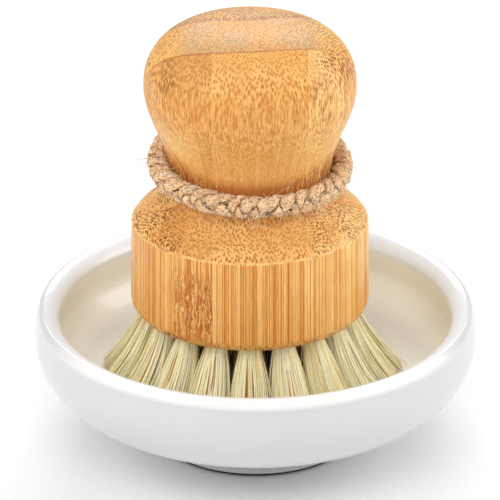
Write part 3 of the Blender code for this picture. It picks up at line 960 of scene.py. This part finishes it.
def rope_place(angle):
    """A point of the loop's middle line, which is drawn out to the knot behind."""
    lift = ((1 + math.sin(angle)) / 2) ** ROPE_BACK_EXPONENT
    radius = ROPE_RING + ROPE_BACK * lift
    flat = Vector((math.cos(angle), math.sin(angle), 0)) * radius
    return Matrix.Rotation(ROPE_LEAN, 3, "Y") @ Matrix.Rotation(ROPE_TILT, 3, "X") @ flat


def rope_line(count):
    """The loop's middle line from one side of the knot, round the front, to the other."""
    back = rope_place(UPRIGHT).length
    half_gap = math.asin((KNOT_HALF_WIDTH + KNOT_STUB) / back)
    start = UPRIGHT + half_gap
    sweep = 2 * math.pi - 2 * half_gap
    return [rope_place(start + sweep * step / count) for step in range(count + 1)]


class Plait:
    """Three strands plaited along a line, and where each one's surface lies."""

    def __init__(self, line, chance):
        self.line = line
        self.along = [0.0]
        for first, second in zip(line, line[1:]):
            self.along.append(self.along[-1] + (second - first).length)
        self.frames = []
        for index in range(len(line)):
            way = way_at(line, index)
            out = way.cross(Vector((0, 0, 1))).normalized()
            self.frames.append((out.cross(way).normalized(), out))
        starts = [chance.uniform(0, 2 * math.pi) for _ in range(2 + STRANDS)]
        self.offsets = []
        for strand in range(STRANDS):
            places = []
            for here in self.along:
                phase = 2 * math.pi * (here / PLAIT_LENGTH + strand / STRANDS)
                phase += 0.35 * math.sin(here * 0.52 + starts[0])
                phase += 0.22 * math.sin(here * 1.4 + starts[1])
                swell = 1 + 0.07 * math.sin(here * 0.9 + starts[2 + strand])
                places.append((PLAIT_HALF_WIDTH * math.sin(phase) * swell,
                               PLAIT_HALF_DEPTH * math.sin(2 * phase) * swell))
            self.offsets.append(places)

    def surface(self, strand, index, angle, reach=1.0):
        """A point of a strand's surface, and how hard another strand presses there."""
        across, deep = self.offsets[strand][index]
        across += STRAND_HALF_WIDTH * math.cos(angle) * reach
        deep += STRAND_HALF_DEPTH * math.sin(angle) * reach
        pressed = 0.0
        for other, places in enumerate(self.offsets):
            if other != strand:
                far = math.hypot((across - places[index][0]) / STRAND_HALF_WIDTH,
                                 (deep - places[index][1]) / STRAND_HALF_DEPTH) - 1
                pressed = max(pressed, 1 - far * STRAND_HALF_WIDTH / PRESS_REACH)
        away = math.hypot(across / (PLAIT_HALF_WIDTH + STRAND_HALF_WIDTH),
                          deep / (PLAIT_HALF_DEPTH + STRAND_HALF_DEPTH))
        if deep < 0:
            deep *= INNER_SWELL
        if away > PACKED:
            away = PACKED / away + (1 - PACKED / away) * FLATTENED
        else:
            away = 1.0
        away /= PACKED + (1 - PACKED) * FLATTENED
        lift, out = self.frames[index]
        return self.line[index] + lift * across * away + out * deep * away, min(1.0, pressed)


def plait_mesh(name, plait):
    """The strands' surfaces, fluted along the lie of their fibres."""
    shape = bmesh.new()
    uv = shape.loops.layers.uv.new("yarn")
    pressed_layer = shape.verts.layers.float.new("pressed")
    for strand in range(STRANDS):
        rings = []
        for index, here in enumerate(plait.along):
            ring = []
            for angle in turns(STRAND_SIDES):
                lie = angle + 2 * math.pi * here / STRAND_LAY
                flat = Vector((math.cos(lie), math.sin(lie), 0))
                coarse = noise.noise(flat * 2.4 + Vector((0, 0, here * 0.3 + strand * 31)))
                thin = noise.noise(flat * 5.5 + Vector((0, 0, here * 0.45 + strand * 17)))
                reach = 1 + 0.1 * coarse + 0.09 * thin
                point, pressed = plait.surface(strand, index, angle, reach)
                corner = shape.verts.new(point * MM)
                corner[pressed_layer] = pressed
                ring.append(corner)
            rings.append(ring)
        for face, index, side in skinned(shape, rings):
            corners = ((side, index), (side + 1, index), (side + 1, index + 1), (side, index + 1))
            for loop, (turned, step) in zip(face.loops, corners):
                here = plait.along[step]
                round_strand = turned / STRAND_SIDES + here / STRAND_LAY + strand * 3.7
                loop[uv].uv = (round_strand, here)
    bmesh.ops.recalc_face_normals(shape, faces=shape.faces)
    return finished(name, shape)


def fibre_mesh(name, plait, chance):
    """Fibres that lie along the strands and lift at their ends, and whiskers that stand off."""
    shape = bmesh.new()
    last = len(plait.line) - 1
    pace = plait.along[-1] / last
    for _ in range(SURFACE_FIBRES):
        strand = chance.randrange(STRANDS)
        index = chance.randrange(4, last - 4)
        across, deep = plait.offsets[strand][index]
        angle = math.atan2(deep, across) + chance.gauss(0, 0.8)
        long = chance.uniform(2.5, 7.0)
        ends = (chance.uniform(0.02, 0.4), chance.uniform(0.02, 0.5))
        drift = chance.uniform(-0.9, 0.9)
        steps = 8
        points = []
        for step in range(steps + 1):
            share = step / steps
            spot = min(last, max(0, index + round((share - 0.5) * long / pace)))
            lifted = 1.04 + ends[0] * (1 - share) ** 4 + ends[1] * share**4
            turned = angle - 2 * math.pi * (share - 0.5) * long / STRAND_LAY
            turned += drift * (share - 0.5)
            points.append(plait.surface(strand, spot, turned, lifted)[0])
        radius = chance.uniform(0.03, 0.06)
        radii = [radius * (1 - 0.4 * abs(2 * k / steps - 1)) for k in range(steps + 1)]
        tube(shape, points, radii, 4)
    for _ in range(WHISKERS):
        strand = chance.randrange(STRANDS)
        index = chance.randrange(4, last - 4)
        angle = chance.uniform(0, 2 * math.pi)
        start, _ = plait.surface(strand, index, angle, 0.9)
        outward = (start - plait.line[index]).normalized()
        way = (plait.line[index + 2] - plait.line[index - 2]).normalized()
        heading = way * chance.uniform(-1, 1) + outward * chance.uniform(0.3, 1.0)
        heading = (heading + Vector([chance.gauss(0, 0.3) for _ in range(3)])).normalized()
        curl = Vector([chance.gauss(0, 1) for _ in range(3)]) * 0.5
        long = chance.uniform(1.5, 4.6)
        steps = 7
        points = [start]
        for _ in range(steps):
            points.append(points[-1] + heading * long / steps)
            heading = (heading + curl / steps).normalized()
        radius = chance.uniform(0.045, 0.075)
        tube(shape, points, [radius * (1 - 0.5 * k / steps) for k in range(steps + 1)], 4)
    return finished(name, shape)


def make_rope(material, fibre_material, chance):
    """The plaited loop, its fibres and its knot."""
    line = rope_line(ROPE_STEPS)
    plait = Plait(line, chance)
    origin = (BRUSH_X, 0, ROPE_Z)
    rope = new_piece(plait_mesh("rope_plait", plait), material, "rope", origin)
    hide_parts("rope_loop")
    loose = fibre_mesh("rope_fibres", plait, chance)
    fibres = new_piece(loose, fibre_material, "rope", origin)
    knot = make_knot(material, line, chance)
    path = [tuple((point + Vector(origin)) * MM) for point in line]


def smooth_line(points, count):
    """A line through the points with no corners."""
    out = []
    spans = len(points) - 1
    for step in range(count + 1):
        at = min(step * spans / count, spans - 1e-6)
        span = int(at)
        t = at - span
        a, b, c, d = [points[min(max(span + k, 0), spans)] for k in (-1, 0, 1, 2)]
        bend = a * 2 - b * 5 + c * 4 - d
        out.append((b * 2 + (c - a) * t + bend * t * t + (b * 3 - a - c * 3 + d) * t**3) / 2)
    return out


def make_knot(material, line, chance):
    """The two ends of the loop, tied in a square knot, with short cut tails."""
    middle = rope_place(UPRIGHT)
    joined = bmesh.new()
    for side, end, inward in ((-1, line[0], line[2]), (1, line[-1], line[-3])):
        start = end - middle
        lead = (end - inward).normalized()
        route = [Vector((x * side, y * side * KNOT_FLATTENED, z)) for x, y, z in KNOT_TURNS]
        tail = [route[-1] + Vector((x * side, y, z)) for x, y, z in KNOT_TAIL]
        route = [start - lead * 2.0, start + lead * 1.0] + route + tail
        part = plait_mesh("knot_part", Plait(smooth_line(route, KNOT_STEPS), chance))
        joined.from_mesh(part)
        bpy.data.meshes.remove(part)
    mesh = finished("rope_square_knot", joined)
    origin = Vector((BRUSH_X, 0, ROPE_Z)) + middle
    knot = new_piece(mesh, material, "rope", origin)
    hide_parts("rope_knot")
    return knot


def make_floor():
    """A plain pale disc just under the dish's foot."""
    mesh = bpy.data.meshes.new("floor")
    ring = [(FLOOR_RADIUS * math.cos(turn), FLOOR_RADIUS * math.sin(turn), 0)
            for turn in turns(FLOOR_SIDES)]
    mesh.from_pydata(ring, [], [tuple(range(FLOOR_SIDES))])
    floor = bpy.data.objects.new("floor", mesh)
    floor.location.z = -FLOOR_DROP
    scene.collection.objects.link(floor)
    g = Graph("floor")
    g.set(Base_Color=shade("floor"), Roughness=0.9, Specular_IOR_Level=0.1)
    mesh.materials.append(g.material)


def make_world():
    """White to the camera, dimmer as a source of light."""
    world = bpy.data.worlds.new("studio")
    world.use_nodes = True
    scene.world = world
    tree = world.node_tree
    background = tree.nodes["Background"]
    background.inputs["Color"].default_value = (1, 1, 1, 1)
    path = tree.nodes.new("ShaderNodeLightPath")
    strength = tree.nodes.new("ShaderNodeMapRange")
    strength.inputs["To Min"].default_value = WORLD_LIGHT
    strength.inputs["To Max"].default_value = 1.0
    tree.links.new(path.outputs["Is Camera Ray"], strength.inputs["Value"])
    tree.links.new(strength.outputs[0], background.inputs["Strength"])


def add_lamp(name, place, size, power, reflected):
    """A soft box aimed at the brush."""
    data = bpy.data.lights.new(name, "AREA")
    data.shape = "RECTANGLE"
    data.size, data.size_y = size
    data.energy = power
    lamp = bpy.data.objects.new(name, data)
    lamp.location = place
    aim = LAMP_AIM - Vector(place)
    lamp.rotation_euler = aim.to_track_quat("-Z", "Y").to_euler()
    lamp.visible_glossy = reflected
    scene.collection.objects.link(lamp)


scene.view_settings.view_transform = "Standard"
make_floor()
make_world()
for name, settings in LAMPS.items():
    add_lamp(name, *settings)
dish_mesh = lathe("dish_glazed", dish_points(), DISH_SIDES)
dish = new_piece(dish_mesh, glaze_material(), "dish")
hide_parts("dish")
make_handle(Bamboo().material)
bristle = bristle_material()
bowl = bowl_points()
chance = random.Random(11)
for name, place, ring in tuft_places():
    make_tuft(name, place, ring, chance, bowl, bristle)
make_rope(jute_material(), jute_fibre_material(), random.Random(5))
